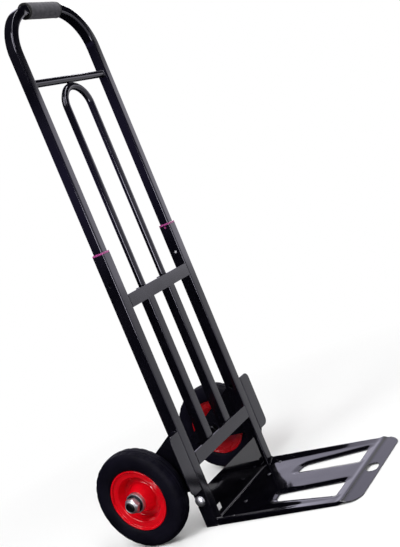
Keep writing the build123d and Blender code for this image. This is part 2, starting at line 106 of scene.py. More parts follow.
def objectCoords(tree):
    return tree.nodes.new("ShaderNodeTexCoord").outputs["Object"]


def noise(tree, coords, scale, detail=3.0, rough=0.5):
    node = addNode(tree, "ShaderNodeTexNoise", Scale=scale, Detail=detail, Roughness=rough)
    tree.links.new(coords, node.inputs["Vector"])
    return node.outputs["Fac"]


def ramp(tree, fac, stops):
    node = tree.nodes.new("ShaderNodeValToRGB")
    marks = node.color_ramp.elements
    while len(marks) < len(stops):
        marks.new(0.5)
    for mark, (place, colour) in zip(marks, stops):
        mark.position = place
        mark.color = (*colour, 1.0)
    tree.links.new(fac, node.inputs["Fac"])
    return node.outputs["Color"]


def tone(tree, fac, look):
    return ramp(tree, fac, [(noiseLow, look["dark"]), (noiseHigh, look["light"])])


def spread(tree, fac, low, high, fromLow=noiseLow, fromHigh=noiseHigh):
    node = tree.nodes.new("ShaderNodeMapRange")
    setInputs(node, {"From Min": fromLow, "From Max": fromHigh, "To Min": low, "To Max": high})
    tree.links.new(fac, node.inputs["Value"])
    return node.outputs["Result"]


def bump(tree, height, depth, strength=1.0, onto=None):
    node = addNode(tree, "ShaderNodeBump", Strength=strength, Distance=depth)
    tree.links.new(height, node.inputs["Height"])
    if onto:
        tree.links.new(onto, node.inputs["Normal"])
    return node.outputs["Normal"]


# finishes
def makePaint(name, look):
    # sprayed and baked coat: orange peel, faint shade and gloss changes, specks of dust
    mat, tree, bsdf = newMaterial(name)
    coords = objectCoords(tree)
    shade = noise(tree, coords, look["cloud"], detail=4.0)
    tree.links.new(tone(tree, shade, look), bsdf.inputs["Base Color"])
    tree.links.new(spread(tree, shade, *look["rough"]), bsdf.inputs["Roughness"])
    peel = bump(tree, noise(tree, coords, look["peelScale"], detail=1.5), look["peelDepth"])
    dust = noise(tree, coords, look["dustScale"], detail=2.0, rough=0.7)
    tree.links.new(bump(tree, dust, look["dustDepth"], strength=0.5, onto=peel), bsdf.inputs["Normal"])
    setInputs(bsdf, {"IOR": 1.5, "Specular IOR Level": look["gloss"], "Specular Tint": (*look["glossTint"], 1.0),
                     "Coat Weight": look["coat"], "Coat Roughness": look["coatRough"]})
    return mat


blackPaint = makePaint("gloss_black_paint", dict(
    dark=(0.0020, 0.0019, 0.0036), light=(0.0040, 0.0037, 0.0062), cloud=14.0, glossTint=(0.86, 0.84, 1.0),
    rough=(0.10, 0.17), gloss=0.5, peelScale=330.0, peelDepth=0.000003, dustScale=1900.0, dustDepth=0.0000015,
    coat=0.0, coatRough=0.03))
# the toe's black: glossier than the frame's, and darker as painted shade
toePaint = makePaint("gloss_black_toe", dict(
    dark=(0.0008, 0.0007, 0.0015), light=(0.0018, 0.0016, 0.0030), cloud=11.0, glossTint=(0.92, 0.90, 1.0),
    rough=(0.055, 0.11), gloss=0.5, peelScale=260.0, peelDepth=0.000012, dustScale=1700.0, dustDepth=0.000005,
    coat=0.0, coatRough=0.03))
redPaint = makePaint("gloss_red_paint", dict(
    dark=(0.53, 0.0008, 0.0055), light=(0.66, 0.0014, 0.0090), cloud=22.0, glossTint=(1.0, 1.0, 1.0),
    rough=(0.16, 0.24), gloss=0.14, peelScale=420.0, peelDepth=0.000012, dustScale=2200.0, dustDepth=0.000005,
    coat=0.7, coatRough=0.05))
# red for the inner halves: darker than the outer red as painted shade, rougher, with less clear coat
redPaintedShade = makePaint("red_paint_painted_shade", dict(
    dark=(0.25, 0.0006, 0.0035), light=(0.36, 0.0012, 0.0060), cloud=22.0, glossTint=(1.0, 1.0, 1.0),
    rough=(0.22, 0.32), gloss=0.25, peelScale=420.0, peelDepth=0.000012, dustScale=2200.0, dustDepth=0.000005,
    coat=0.15, coatRough=0.10))


def makeMetal(name, look):
    # bright or blackened steel: cloudy tint, small pits
    mat, tree, bsdf = newMaterial(name)
    coords = objectCoords(tree)
    tree.links.new(tone(tree, noise(tree, coords, look["cloud"]), look), bsdf.inputs["Base Color"])
    pits = noise(tree, coords, look["pitScale"], detail=2.0, rough=0.8)
    tree.links.new(spread(tree, pits, *look["rough"]), bsdf.inputs["Roughness"])
    tree.links.new(bump(tree, pits, look["pitDepth"], strength=0.6), bsdf.inputs["Normal"])
    setInputs(bsdf, {"Metallic": 1.0})
    return mat


zinc = makeMetal("bright_zinc", dict(
    dark=(0.60, 0.60, 0.65), light=(0.82, 0.82, 0.87), cloud=90.0,
    rough=(0.32, 0.48), pitScale=1500.0, pitDepth=0.00002))
satinZinc = makeMetal("satin_zinc", dict(
    dark=(0.74, 0.74, 0.78), light=(0.90, 0.90, 0.93), cloud=140.0,
    rough=(0.58, 0.72), pitScale=1500.0, pitDepth=0.00001))
dullZinc = makeMetal("dulled_zinc", dict(
    dark=(0.10, 0.10, 0.11), light=(0.20, 0.20, 0.22), cloud=140.0,
    rough=(0.36, 0.52), pitScale=1500.0, pitDepth=0.00002))
bearingSteel = makeMetal("bearing_steel", dict(
    dark=(0.30, 0.30, 0.32), light=(0.48, 0.48, 0.50), cloud=120.0,
    rough=(0.24, 0.40), pitScale=1800.0, pitDepth=0.00002))
springSteel = makeMetal("spring_steel", dict(
    dark=(0.34, 0.33, 0.33), light=(0.50, 0.49, 0.48), cloud=80.0,
    rough=(0.26, 0.38), pitScale=1300.0, pitDepth=0.00002))
blackSteel = makeMetal("blackened_steel", dict(
    dark=(0.020, 0.020, 0.024), light=(0.045, 0.044, 0.050), cloud=110.0,
    rough=(0.28, 0.44), pitScale=1500.0, pitDepth=0.00003))


def makeMoulded(name, look):
    # moulded plastic or rubber: fine grain, soft shade changes
    mat, tree, bsdf = newMaterial(name)
    coords = objectCoords(tree)
    tree.links.new(tone(tree, noise(tree, coords, look["cloud"], detail=4.0), look), bsdf.inputs["Base Color"])
    grain = noise(tree, coords, look["grainScale"], detail=2.5, rough=0.6)
    tree.links.new(spread(tree, grain, *look["rough"]), bsdf.inputs["Roughness"])
    tree.links.new(bump(tree, grain, look["grainDepth"], strength=0.7), bsdf.inputs["Normal"])
    setInputs(bsdf, {"Specular IOR Level": look["gloss"]})
    return mat


blackPlastic = makeMoulded("black_plastic", dict(
    dark=(0.004, 0.004, 0.006), light=(0.009, 0.009, 0.011), cloud=60.0,
    rough=(0.34, 0.50), grainScale=1600.0, grainDepth=0.00004, gloss=0.4))
collarPlastic = makeMoulded("pink_collar_plastic", dict(
    dark=(0.27, 0.034, 0.16), light=(0.36, 0.055, 0.23), cloud=70.0,
    rough=(0.28, 0.40), grainScale=1400.0, grainDepth=0.00003, gloss=0.5))
rubber = makeMoulded("tyre_rubber", dict(
    dark=(0.0018, 0.0015, 0.0046), light=(0.0042, 0.0036, 0.0090), cloud=26.0,
    rough=(0.48, 0.64), grainScale=900.0, grainDepth=0.00005, gloss=0.06))


def makeFoam(name, look):
    # closed-cell foam: pores of two sizes, charcoal, dull, the ends darkened by painted shade
    mat, tree, bsdf = newMaterial(name)
    coords = objectCoords(tree)
    # painted shade: the colour is scaled down over the last few mm towards each end of the grip
    apart = tree.nodes.new("ShaderNodeSeparateXYZ")
    tree.links.new(coords, apart.inputs[0])
    along = addNode(tree, "ShaderNodeMath", operation="ABSOLUTE")
    tree.links.new(apart.outputs["X"], along.inputs[0])
    shaded = addNode(tree, "ShaderNodeVectorMath", operation="SCALE")
    tree.links.new(tone(tree, noise(tree, coords, look["cloud"]), look), shaded.inputs[0])
    tree.links.new(spread(tree, along.outputs[0], 1.0, look["endPaintedShade"], *look["ends"]), shaded.inputs["Scale"])
    tree.links.new(shaded.outputs[0], bsdf.inputs["Base Color"])
    pores = noise(tree, coords, look["poreScale"], detail=2.0, rough=0.7)
    tree.links.new(spread(tree, pores, *look["rough"]), bsdf.inputs["Roughness"])
    cells = addNode(tree, "ShaderNodeTexVoronoi", Scale=look["cellScale"])
    tree.links.new(coords, cells.inputs["Vector"])
    deep = bump(tree, cells.outputs["Distance"], look["cellDepth"], strength=0.6)
    tree.links.new(bump(tree, pores, look["poreDepth"], strength=0.5, onto=deep), bsdf.inputs["Normal"])
    setInputs(bsdf, {"Sheen Weight": look["sheen"], "Sheen Roughness": look["sheenRough"],
                     "Specular IOR Level": look["gloss"]})
    return mat


# ends: where the painted shade on the grip's ends starts and where it is full, in metres from the middle
foam = makeFoam("charcoal_foam", dict(
    dark=(0.046, 0.044, 0.054), light=(0.080, 0.077, 0.090), cloud=120.0, ends=(0.0488, 0.0512), endPaintedShade=0.04,
    cellScale=900.0, cellDepth=0.00012, poreScale=2200.0, poreDepth=0.00006,
    rough=(0.78, 0.95), gloss=0.2, sheen=0.12, sheenRough=0.6))
finishes = dict(
    black_paint=blackPaint, collar_plastic=collarPlastic, black_plastic=blackPlastic, foam=foam,
    zinc_steel=zinc, spring_steel=springSteel, black_steel=blackSteel, bearing_steel=bearingSteel,
    red_paint=redPaint, tyre_rubber=rubber)
print("finishes made")


# meshes
facetGap, facetAngle = 0.000005, 0.3  # points and facets this close are one, in metres and degrees
axisR, tipGap = 0.01, 0.00003  # a turned piece's tip: its radius in mm, and the gap that closes it in metres


def meshFrom(bm, name, smooth=True):
    bmesh.ops.recalc_face_normals(bm, faces=bm.faces)
    for face in bm.faces:
        face.smooth = smooth
    mesh = bpy.data.meshes.new(name)
    bm.to_mesh(mesh)
    bm.free()
    return mesh


def newPiece(name, mesh, body, slot, replaced=(), finish=None):
    piece = bpy.data.objects.new(name, mesh)
    scene.collection.objects.link(piece)
    mesh.materials.append(finish or finishes[slot])
    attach(piece, body)
    if replaced:
        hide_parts(*replaced)
    return piece


def softenEdges(piece, width, angle=35.0):
    edge = piece.modifiers.new("soft_edges", "BEVEL")
    edge.width = width
    edge.segments = 2
    edge.limit_method = "ANGLE"
    edge.angle_limit = math.radians(angle)
    edge.use_clamp_overlap = False
    edge.harden_normals = True
    return piece


def softCopy(node, slot, width, finish=None):
    # the CAD piece again, its flat facets joined and its sharp edges rounded off
    bm = bmesh.new()
    bm.from_mesh(nodes[node].data)
    bmesh.ops.remove_doubles(bm, verts=bm.verts, dist=facetGap)
    bmesh.ops.dissolve_limit(bm, angle_limit=math.radians(facetAngle), verts=bm.verts, edges=bm.edges)
    mesh = meshFrom(bm, node + "_soft")
    for layer in [a for a in mesh.attributes if a.name == "custom_normal"]:
        mesh.attributes.remove(layer)
    while mesh.uv_layers:
        mesh.uv_layers.remove(mesh.uv_layers[0])
    mesh.materials.clear()
    return softenEdges(newPiece(node + "_soft", mesh, bodyOf[node], slot, [node], finish), width * mm)


def joinRings(bm, rings, closed=True):
    # faces between each ring of points and the next
    for here, there in zip(rings, rings[1:] + rings[:1] if closed else rings[1:]):
        for k in range(len(here)):
            j = (k + 1) % len(here)
            bm.faces.new((here[k], here[j], there[j], there[k]))


def lathe(bm, profile, origin, out, up=(0, 0, 1), steps=72):
    # closed section spun about a line: points are (along, radius) in mm, with a shape for other than round
    origin, out, up = Vector(origin), Vector(out), Vector(up)
    side = out.cross(up)
    rings = []
    for turn in sweep(fullTurn, steps, True):
        ray = up * math.cos(turn) + side * math.sin(turn)
        ring = []
        for along, radius, *shape in profile:
            r = shape[0](turn, along, radius) if shape else radius
            ring.append(bm.verts.new(origin + (out * along + ray * r) * mm))
        rings.append(ring)
    joinRings(bm, rings)


def ringSection(start, end, bore, outer):
    return [(start, bore), (start, outer), (end, outer), (end, bore)]


def rounded(points, radius=0.0, steps=4):
    # corners of a closed section turned into short arcs, a point's own radius first
    straight, share = math.radians(178), 0.48  # no arc above this angle, or over this share of a side
    out = []
    count = len(points)
    for i, point in enumerate(points):
        here = Vector(point[:2])
        r = point[2] if len(point) > 2 else radius
        before = Vector(points[i - 1][:2]) - here
        after = Vector(points[(i + 1) % count][:2]) - here
        turn = before.angle(after)
        if r <= 0 or turn > straight:
            out.append(tuple(here))
            continue
        cut = min(r / math.tan(turn / 2), before.length * share, after.length * share)
        start, end = here + before.normalized() * cut, here + after.normalized() * cut
        for k in range(steps + 1):
            t = k / steps
            out.append(tuple(start * (1 - t) ** 2 + here * 2 * t * (1 - t) + end * t ** 2))
    return out


def hexagon(flats, bevel, *ends):
    # radius of a hexagon whose end faces are turned off by cones
    cone = 1.73

    def shape(turn, along, radius):
        flat = flats / 2 / math.cos((turn + math.pi / 6) % (math.pi / 3) - math.pi / 6)
        depth = min(abs(along - end) for end in ends)
        return min(flat, flats / 2 - bevel + depth * cone)
    return shape


# frame: tubes, plates, brackets, collars, feet, with the width of their rounded edges in mm
frameEdges = dict(
    left_side_tube=0.35, right_side_tube=0.35, left_guide_tube=0.3, right_guide_tube=0.3,
    upper_cross_plate=0.6, lower_cross_plate=0.6, left_wheel_bracket=0.6, right_wheel_bracket=0.6)
for node, width in frameEdges.items():
    softCopy(node, "black_paint", width)
fittingEdges = dict(collar=0.3, spacer=0.4, feet=0.4, bushes=0.3)
for side in ("left", "right"):
    softCopy(side + "_collar", "collar_plastic", fittingEdges["collar"])
    softCopy(side + "_axle_spacer", "black_steel", fittingEdges["spacer"])
softCopy("tube_feet", "black_plastic", fittingEdges["feet"])
softCopy("guide_bushes", "black_plastic", fittingEdges["bushes"])
print("frame softened")

# handle: bent tube, crossbar, hoop, sprung buttons
handleEdges = dict(tube=0.3, glides=0.3, button=0.25, spring=0.12)
for node in ("handle_tube", "handle_crossbar", "centre_hoop"):
    softCopy(node, "black_paint", handleEdges["tube"])
softCopy("leg_glides", "black_plastic", handleEdges["glides"])
for side in ("left", "right"):
    softCopy(side + "_lock_button", "zinc_steel", handleEdges["button"], satinZinc)
    softCopy(side + "_button_spring", "spring_steel", handleEdges["spring"])
print("handle softened")


# weld beads: overlapping ripples along each joint
weldSet = dict(
    ripple=2.1, step=0.7, ring=10, depth=0.22, endSize=0.35, endGrow=0.3, slant=(0.31, 0.52, 0.79),
    plate=2.4, plateInset=2, guide=1.9, guideInset=3,
    bracket=2.2, bracketFrom=6, topTo=19, lowTo=4, tack=2.4, tackFrom=(10, 62), tackLength=30,
    bar=1.7, barSteps=40, hoop=1.5, hoopHalf=9, hoopApart=2.6)


def weldBead(bm, points, radius, closed=False):
    path = [Vector(p) for p in points]
    if closed:
        path.append(path[0])
    spots = []
    for a, b in zip(path, path[1:]):
        count = max(1, round((b - a).length / (weldSet["step"] * mm)))
        spots += [a.lerp(b, k / count) for k in range(count)]
    if not closed:
        spots.append(path[-1])
    last = len(spots) - 1
    rings = []
    for i, spot in enumerate(spots):
        ahead = spots[(i + 1) % len(spots)] if closed else spots[min(i + 1, last)]
        behind = spots[i - 1] if closed or i else spots[0]
        along = (ahead - behind).normalized()
        across = along.cross(Vector(weldSet["slant"])).normalized()
        lift = along.cross(across)
        wave = i * weldSet["step"] / weldSet["ripple"] % 1.0
        size = radius * (1 - weldSet["depth"] * wave)
        if not closed:
            size *= min(1.0, weldSet["endSize"] + weldSet["endGrow"] * min(i, last - i))
        turns = sweep(fullTurn, weldSet["ring"], True)
        rings.append([bm.verts.new(spot + (across * math.cos(t) + lift * math.sin(t)) * size * mm) for t in turns])
    joinRings(bm, rings, closed)
    if not closed:
        bm.faces.new(rings[0])
        bm.faces.new(rings[-1])


w = weldSet
bm = bmesh.new()
for plate in ("upper_cross_plate", "lower_cross_plate"):
    low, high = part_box(plate)
    for sx in signs:
        joints = [(sx * innerX, w["plateInset"], w["plate"])]
        joints += [(sx * guideX + edge * guideHalf, w["guideInset"], w["guide"]) for edge in signs]
        for x, inset, radius in joints:
            weldBead(bm, [(x, high.y, low.z + inset * mm), (x, high.y, high.z - inset * mm)], radius)
for side, sx in sides:
    low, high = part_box(side + "_wheel_bracket")
    x, startY = sx * outerX, frontY + w["bracketFrom"] * mm
    weldBead(bm, [(x, startY, high.z), (x, frontY + w["topTo"] * mm, high.z)], w["bracket"])
    weldBead(bm, [(x, startY, low.z), (x, backY - w["lowTo"] * mm, low.z)], w["bracket"])
    for start in w["tackFrom"]:
        heights = (low.z + start * mm, low.z + (start + w["tackLength"]) * mm)
        weldBead(bm, [(x, backY, z) for z in heights], w["tack"])
newPiece("frame_welds", meshFrom(bm, "frame_welds"), "frame", "black_paint")

bm = bmesh.new()
barLow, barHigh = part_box("handle_crossbar")
barY, barZ, barR = (barLow.y + barHigh.y) / 2, (barLow.z + barHigh.z) / 2, (barHigh.z - barLow.z) / 2
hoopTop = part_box("centre_hoop")[1].z
for sx in signs:
    turns = sweep(fullTurn, w["barSteps"], True)
    ring = [(sx * barHigh.x, barY + barR * math.sin(t), barZ + barR * math.cos(t)) for t in turns]
    weldBead(bm, ring, w["bar"], True)
for sy in signs:
    y = barY + sy * w["hoopApart"] * mm
    weldBead(bm, [(sx * w["hoopHalf"] * mm, y, hoopTop) for sx in signs], w["hoop"])
newPiece("handle_welds", meshFrom(bm, "handle_welds"), "handle", "black_paint")
print("welds laid")


# foam grip on the top bar
gripSet = dict(
    radius=17.38, bend=92.0, wrap=6.0, endRound=0.6, endSteps=5, ring=56, rows=40, swell=0.12, legHalf=10.5,
    coreWidth=10.7, coreDepth=12.7, coreSquare=5, coreInset=0.4, coreRows=20)
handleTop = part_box("handle_tube")[1].z - gripSet["legHalf"] * mm
straight = (sideX - gripSet["bend"] * mm) * 1000
gripEnd = straight + math.radians(gripSet["wrap"]) * gripSet["bend"]


def gripPlace(s):
    # point and upward normal of the bar's centreline at s mm from its middle
    over = max(0.0, abs(s) - straight)
    turn = math.copysign(over / gripSet["bend"], s)
    x = math.copysign(min(abs(s), straight), s) + gripSet["bend"] * math.sin(turn)
    z = gripSet["bend"] * (math.cos(turn) - 1)
    return Vector((x * mm, tubeY, handleTop + z * mm)), Vector((math.sin(turn), 0, math.cos(turn)))


def gripRing(bm, s, radius=None):
    # ring of points round the bar, a little uneven, or against the tube where no radius is given
    g = gripSet
    place, normal = gripPlace(s)
    power = g["coreSquare"]
    ring = []
    for t in sweep(fullTurn, g["ring"], True):
        c, q = math.cos(t), math.sin(t)
        if radius is None:
            r = (abs(c / g["coreWidth"]) ** power + abs(q / g["coreDepth"]) ** power) ** (-1 / power)
        else:
            r = radius + g["swell"] * (math.sin(0.21 * s + 2 * t) * math.sin(0.13 * s - 3 * t + 1))
        ring.append(bm.verts.new(place + (normal * c + Vector((0, 1, 0)) * q) * r * mm))
    return ring


bm = bmesh.new()
g = gripSet
edge = g["endRound"]
turns = sweep(quarterTurn, g["endSteps"])
corner = [(edge * (1 - math.cos(t)), g["radius"] - edge + edge * math.sin(t)) for t in turns]
rings = [gripRing(bm, -gripEnd + inset, r) for inset, r in corner]
for k in range(1, g["rows"]):
    rings.append(gripRing(bm, -gripEnd + edge + (2 * gripEnd - 2 * edge) * k / g["rows"], g["radius"]))
rings += [gripRing(bm, gripEnd - inset, r) for inset, r in reversed(corner)]
coreEnd = gripEnd - g["coreInset"]
rings += [gripRing(bm, coreEnd - 2 * coreEnd * k / g["coreRows"]) for k in range(g["coreRows"] + 1)]
joinRings(bm, rings)
grip = newPiece("foam_grip", meshFrom(bm, "foam_grip"), "handle", "foam", ["handle_grip"])
print("grip made")


# wheels
tyreSet = dict(
    bead=53.2, seat=12.1, seatR=66.9, lipOut=15.7, lipR=68.7, lipRows=10, bulge=23.0, bulgeR=87.0, wallRows=22,
    shoulder=14.0, shoulderR=106.0, crownR=108.0, crownFrom=1.8, crownRows=(7.4, 8.4, 10.4, 12.4),
    pitches=30, perPitch=9, lugDepth=0.7, lugWidth=1.9, lugSteep=4.2, lugInner=6.8, lugRun=1.2, lugFrom=102.5,
    lugFade=2.0,
    ribAt=5.0, ribWidth=2.2, ribDepth=1.2, ribEdge=0.3, ringStep=0.12, ringBand=(0.40, 0.56))


def lugCut(turn, along, radius):
    # cross grooves on the shoulders, set off by half a pitch from side to side
    t = tyreSet
    place = turn / fullTurn * t["pitches"] + (0.5 if along > 0 else 0.0)
    inGroove = clamp(t["lugWidth"] - abs(place % 1.0 - 0.5) * 2 * t["lugSteep"])
    onShoulder = clamp((abs(along) - t["lugInner"]) / t["lugRun"]) * clamp((radius - t["lugFrom"]) / t["lugFade"])
    return radius - t["lugDepth"] * inGroove * onShoulder


def tyreHalf():
    # half section, from the middle of the tread to the bead
    t = tyreSet
    ribNear, ribFar = t["ribAt"] - t["ribWidth"] / 2, t["ribAt"] + t["ribWidth"] / 2
    rows = [(t["crownFrom"], 0), (ribNear - t["ribEdge"], 0), (ribNear, 1), (ribFar, 1), (ribFar + t["ribEdge"], 0)]
    rows += [(x, 0) for x in t["crownRows"]]
    half = []
    for x, deep in rows:
        fall = (t["crownR"] - t["shoulderR"]) * (x / t["shoulder"]) ** 2
        half.append((x, t["crownR"] - fall - deep * t["ribDepth"], lugCut))
    for k in range(t["wallRows"] + 1):
        a = quarterTurn * (1 - k / t["wallRows"])
        x = t["shoulder"] + (t["bulge"] - t["shoulder"]) * math.cos(a)
        r = t["bulgeR"] + (t["shoulderR"] - t["bulgeR"]) * math.sin(a)
        grow = t["ringStep"] if t["ringBand"][0] < a < t["ringBand"][1] else 0.0  # moulded ring on the sidewall
        half.append((x + grow, r, lugCut))
    for a in sweep(quarterTurn, t["lipRows"])[1:]:
        x = t["lipOut"] + (t["bulge"] - t["lipOut"]) * math.cos(a)
        r = t["bulgeR"] - (t["bulgeR"] - t["lipR"]) * math.sin(a)
        half.append((x, r))
    return half + [(t["seat"], t["seatR"]), (t["seat"], t["bead"])]


# pressed halves: the web stands inboard of the middle, so the outer dish is the deeper one
rimSet = dict(
    outer=[(22.7, 23.5, 0.8), (-3.8, 33.4, 5.0), (-3.9, 44.0, 4.0), (12.8, 51.8, 3.0), (13.6, 62.8, 1.4),
           (16.0, 63.8, 1.2), (18.2, 65.2, 1.6), (18.2, 68.2, 1.4), (15.9, 68.6, 0.4), (12.0, 66.6, 0.6),
           (12.0, 53.4, 0.6), (-5.9, 45.6, 2.0), (-5.9, 32.0, 2.0), (21.9, 21.8, 0.3)],
    inner=[(-19.1, 21.8, 0.4), (-8.2, 33.2, 5.0), (-8.2, 41.0, 4.0), (-13.6, 52.6, 3.0), (-14.0, 64.4, 2.0),
           (-16.8, 66.2, 1.6), (-17.0, 68.4, 1.2), (-15.7, 68.6, 0.4), (-12.0, 66.6, 0.6), (-12.0, 53.4, 0.6),
           (-6.1, 42.3, 1.5), (-6.1, 32.4, 2.0), (-17.0, 21.8, 0.3)])
hubSet = dict(inboard=-20.5, outboard=29.5, outer=21.5, bore=19.5, edge=0.5)
bearingSet = dict(
    width=11.0, inset=1.0, bore=10.05, inner=12.4, outer=16.6, out=19.5, dip=0.5, slope=0.1, edge=0.15)
for side, sx in sides:
    body = side + "_wheel"
    origin, out = (sx * wheelX, axleY, axleZ), (sx, 0, 0)
    bm = bmesh.new()
    half = tyreHalf()
    whole = half + [(-x, *rest) for x, *rest in reversed(half)]
    lathe(bm, whole, origin, out, steps=tyreSet["pitches"] * tyreSet["perPitch"])
    newPiece(side + "_tyre_tread", meshFrom(bm, "tyre"), body, "tyre_rubber", [side + "_tyre"])
    # the inner halves take the red with painted shade
    for half, coat in (("outer", redPaint), ("inner", redPaintedShade)):
        rim = f"{side}_rim_{half}"
        bm = bmesh.new()
        lathe(bm, rounded(rimSet[half], steps=6), origin, out, steps=128)
        newPiece(rim + "_pressed", meshFrom(bm, "rim"), body, "red_paint", [rim], coat)
    bm = bmesh.new()
    h = hubSet
    sleeve = ringSection(h["inboard"], h["outboard"], h["bore"], h["outer"])
    lathe(bm, rounded(sleeve, h["edge"]), origin, out, steps=96)
    newPiece(side + "_hub_sleeve", meshFrom(bm, "hub"), body, "zinc_steel", [side + "_hub"])
    bm = bmesh.new()
    b = bearingSet
    for start in (h["inboard"] + b["inset"], h["outboard"] - b["inset"] - b["width"]):
        race = []
        for face, inward in ((start, 1), (start + b["width"], -1)):
            dip = face + inward * b["dip"]
            rows = [(face, b["bore"]), (face, b["inner"]), (dip, b["inner"] + b["slope"]),
                    (dip, b["outer"] - b["slope"]), (face, b["outer"]), (face, b["out"])]
            race += rows if inward > 0 else rows[::-1]
        lathe(bm, rounded(race, b["edge"], 2), origin, out)
    newPiece(side + "_bearing_pair", meshFrom(bm, "bearings"), body, "bearing_steel", [side + "_bearings"])
print("wheels made")


# stub axles: bolts, washers, locking nuts
axleSet = dict(
    flats=30.0, bevel=0.5, bolt=10.0,
    headFace=138.0, headChamfer=1.0, headRows=(0.0, 0.4, 0.8, 1.2, 1.6, 2.4, 11.9),
    plate=150.0, seatGap=0.1, end=236.3, tip=((0.9, 9.4), (0.2, 8.7), (0.0, 8.2), (0.3, 3.0), (0.3, axisR)),
    pitch=2.5, threadDepth=0.7, threadLength=8.0, threadStep=0.25, threadUnder=0.05, threadEnd=4,
    washerFace=215.8, washer=2.5, washerBore=10.1, washerR=18.5, washerEdge=0.5,
    nutBore=10.6, nutHex=12.0, nutChamfer=0.7,
    nutRows=(0.0, 0.4, 0.8, 1.2, 1.6, 3.0, 9.0, 10.4, 10.8, 11.2, 11.6, 12.0),
    crown=((12.0, 13.4), (12.4, 13.0), (14.8, 13.0), (15.6, 12.6), (16.0, 11.9), (16.0, 11.3), (15.6, 11.0),
           (14.8, 10.8), (13.6, 10.4)))
a = axleSet
axle = (0, axleY, axleZ)
nutFace = a["washerFace"] + a["washer"]


def thread(turn, along, radius):
    wave = (along / axleSet["pitch"] - turn / fullTurn) % 1.0
    return radius - axleSet["threadDepth"] * abs(2 * wave - 1)


hexHead = hexagon(a["flats"], a["bevel"], a["headFace"])
threadFrom = a["end"] - a["threadLength"]
threadRows = int(a["threadLength"] / a["threadStep"])
profile = [(a["headFace"], axisR), (a["headFace"], a["flats"] / 2 - a["headChamfer"])]
profile += [(a["headFace"] + d, a["flats"] / 2, hexHead) for d in a["headRows"]]
profile += [(a["plate"] - a["seatGap"], a["bolt"]), (threadFrom, a["bolt"])]
for k in range(1, threadRows + 1 - a["threadEnd"]):
    profile.append((threadFrom + a["threadStep"] * k, a["bolt"] - a["threadUnder"], thread))
profile += [(a["end"] - back, r) for back, r in a["tip"]]
for side, sx in sides:
    bm = bmesh.new()
    lathe(bm, profile, axle, (sx, 0, 0))
    bmesh.ops.remove_doubles(bm, verts=bm.verts, dist=tipGap)
    bolt = side + "_axle_bolt"
    newPiece(bolt + "_threaded", meshFrom(bm, "axle_bolt"), "frame", "black_steel", [bolt])
bm = bmesh.new()
for sx in signs:
    washer = ringSection(a["washerFace"], nutFace, a["washerBore"], a["washerR"])
    lathe(bm, rounded(washer, a["washerEdge"]), axle, (sx, 0, 0))
newPiece("axle_washers_pressed", meshFrom(bm, "axle_washers"), "frame", "black_steel", ["axle_washers"])
hexBody = hexagon(a["flats"], a["bevel"], nutFace, nutFace + a["nutHex"])
profile = [(nutFace, a["nutBore"]), (nutFace, a["flats"] / 2 - a["nutChamfer"])]
profile += [(nutFace + d, a["flats"] / 2, hexBody) for d in a["nutRows"]]
profile += [(nutFace + d, r) for d, r in a["crown"]]
bm = bmesh.new()
for sx in signs:
    lathe(bm, profile, axle, (sx, 0, 0), steps=96)
newPiece("axle_lock_nuts", meshFrom(bm, "axle_lock_nuts"), "frame", "zinc_steel", ["axle_nuts"])
print("axles made")


# pivot bolts with domed heads, and their nuts
pivotSet = dict(
    y=64.5, z=60.0, shank=5.0, tip=0.7, headR=12.0, head=7.0, headEdge=0.3, brim=0.9,
    domeFrom=1.2, domeInset=0.9, domeTop=0.2, domeSteps=9,
    inner=121.3, nut=8.0, flats=16.0, nutBore=5.1, nutChamfer=0.6, bevel=0.35,
    nutRows=(0.0, 0.3, 0.6, 0.9, 1.2, 4.0, 6.8, 7.1, 7.4, 7.7, 8.0))
p = pivotSet
pivot = (0, p["y"] * mm, p["z"] * mm)
headFace, nutEnd = outerX * 1000, p["inner"] - p["nut"]
profile = [(nutEnd, axisR), (nutEnd, p["shank"] - p["tip"]), (nutEnd + p["tip"], p["shank"])]
profile += [(headFace, p["shank"]), (headFace, p["headR"] - p["headEdge"])]
profile += [(headFace + p["headEdge"], p["headR"]), (headFace + p["brim"], p["headR"])]
for t in sweep(quarterTurn, p["domeSteps"]):
    rise = p["domeFrom"] + (p["head"] - p["domeFrom"]) * math.sin(t)
    profile.append((headFace + rise, p["domeTop"] + (p["headR"] - p["domeInset"]) * math.cos(t)))
profile.append((headFace + p["head"], axisR))
bm = bmesh.new()
for sx in signs:
    lathe(bm, profile, pivot, (sx, 0, 0), steps=64)
bmesh.ops.remove_doubles(bm, verts=bm.verts, dist=tipGap)
newPiece("pivot_bolts_domed", meshFrom(bm, "pivot_bolts"), "frame", "zinc_steel", ["pivot_bolts"])
hexBody = hexagon(p["flats"], p["bevel"], nutEnd, p["inner"])
faceR = p["flats"] / 2 - p["nutChamfer"]
profile = [(nutEnd, p["nutBore"]), (nutEnd, faceR)]
profile += [(nutEnd + d, p["flats"] / 2, hexBody) for d in p["nutRows"]]
profile += [(p["inner"], faceR), (p["inner"], p["nutBore"])]
bm = bmesh.new()
for sx in signs:
    lathe(bm, profile, pivot, (sx, 0, 0))
newPiece("pivot_nuts_turned", meshFrom(bm, "pivot_nuts"), "frame", "zinc_steel", ["pivot_nuts"])
print("pivots made")


